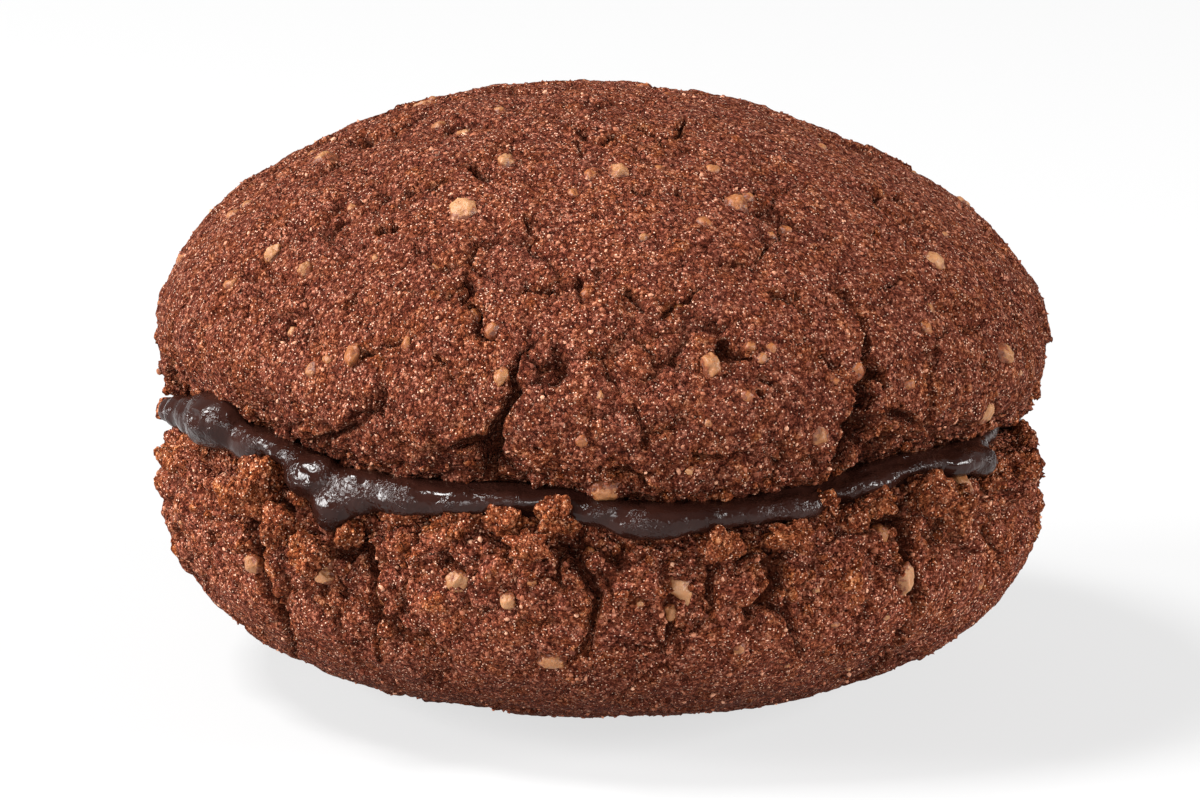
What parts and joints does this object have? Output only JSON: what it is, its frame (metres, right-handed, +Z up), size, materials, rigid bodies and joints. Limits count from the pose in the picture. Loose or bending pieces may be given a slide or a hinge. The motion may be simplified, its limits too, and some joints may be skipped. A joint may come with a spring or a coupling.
{
  "type": "chocolate sandwich cookie",
  "caption": "Two domed, cracked chocolate cookies with nut pieces, joined by a layer of dark ganache.",
  "frame": {"origin": "middle of the flat spot that the cookie rests on, at the bottom centre of the whole", "axes": "+Z up through both cookies, across the seam; the side that the picture shows faces -Y"},
  "size_m": [0.0546, 0.0556, 0.0362],
  "materials": {
    "cookie_dough": "matte, grainy baked crust",
    "ganache": "smooth, glossy"
  },
  "bodies": {
    "root": {"top_cookie": "cookie_dough", "ganache_filling": "ganache", "bottom_cookie": "cookie_dough"}
  },
  "joints": []
}
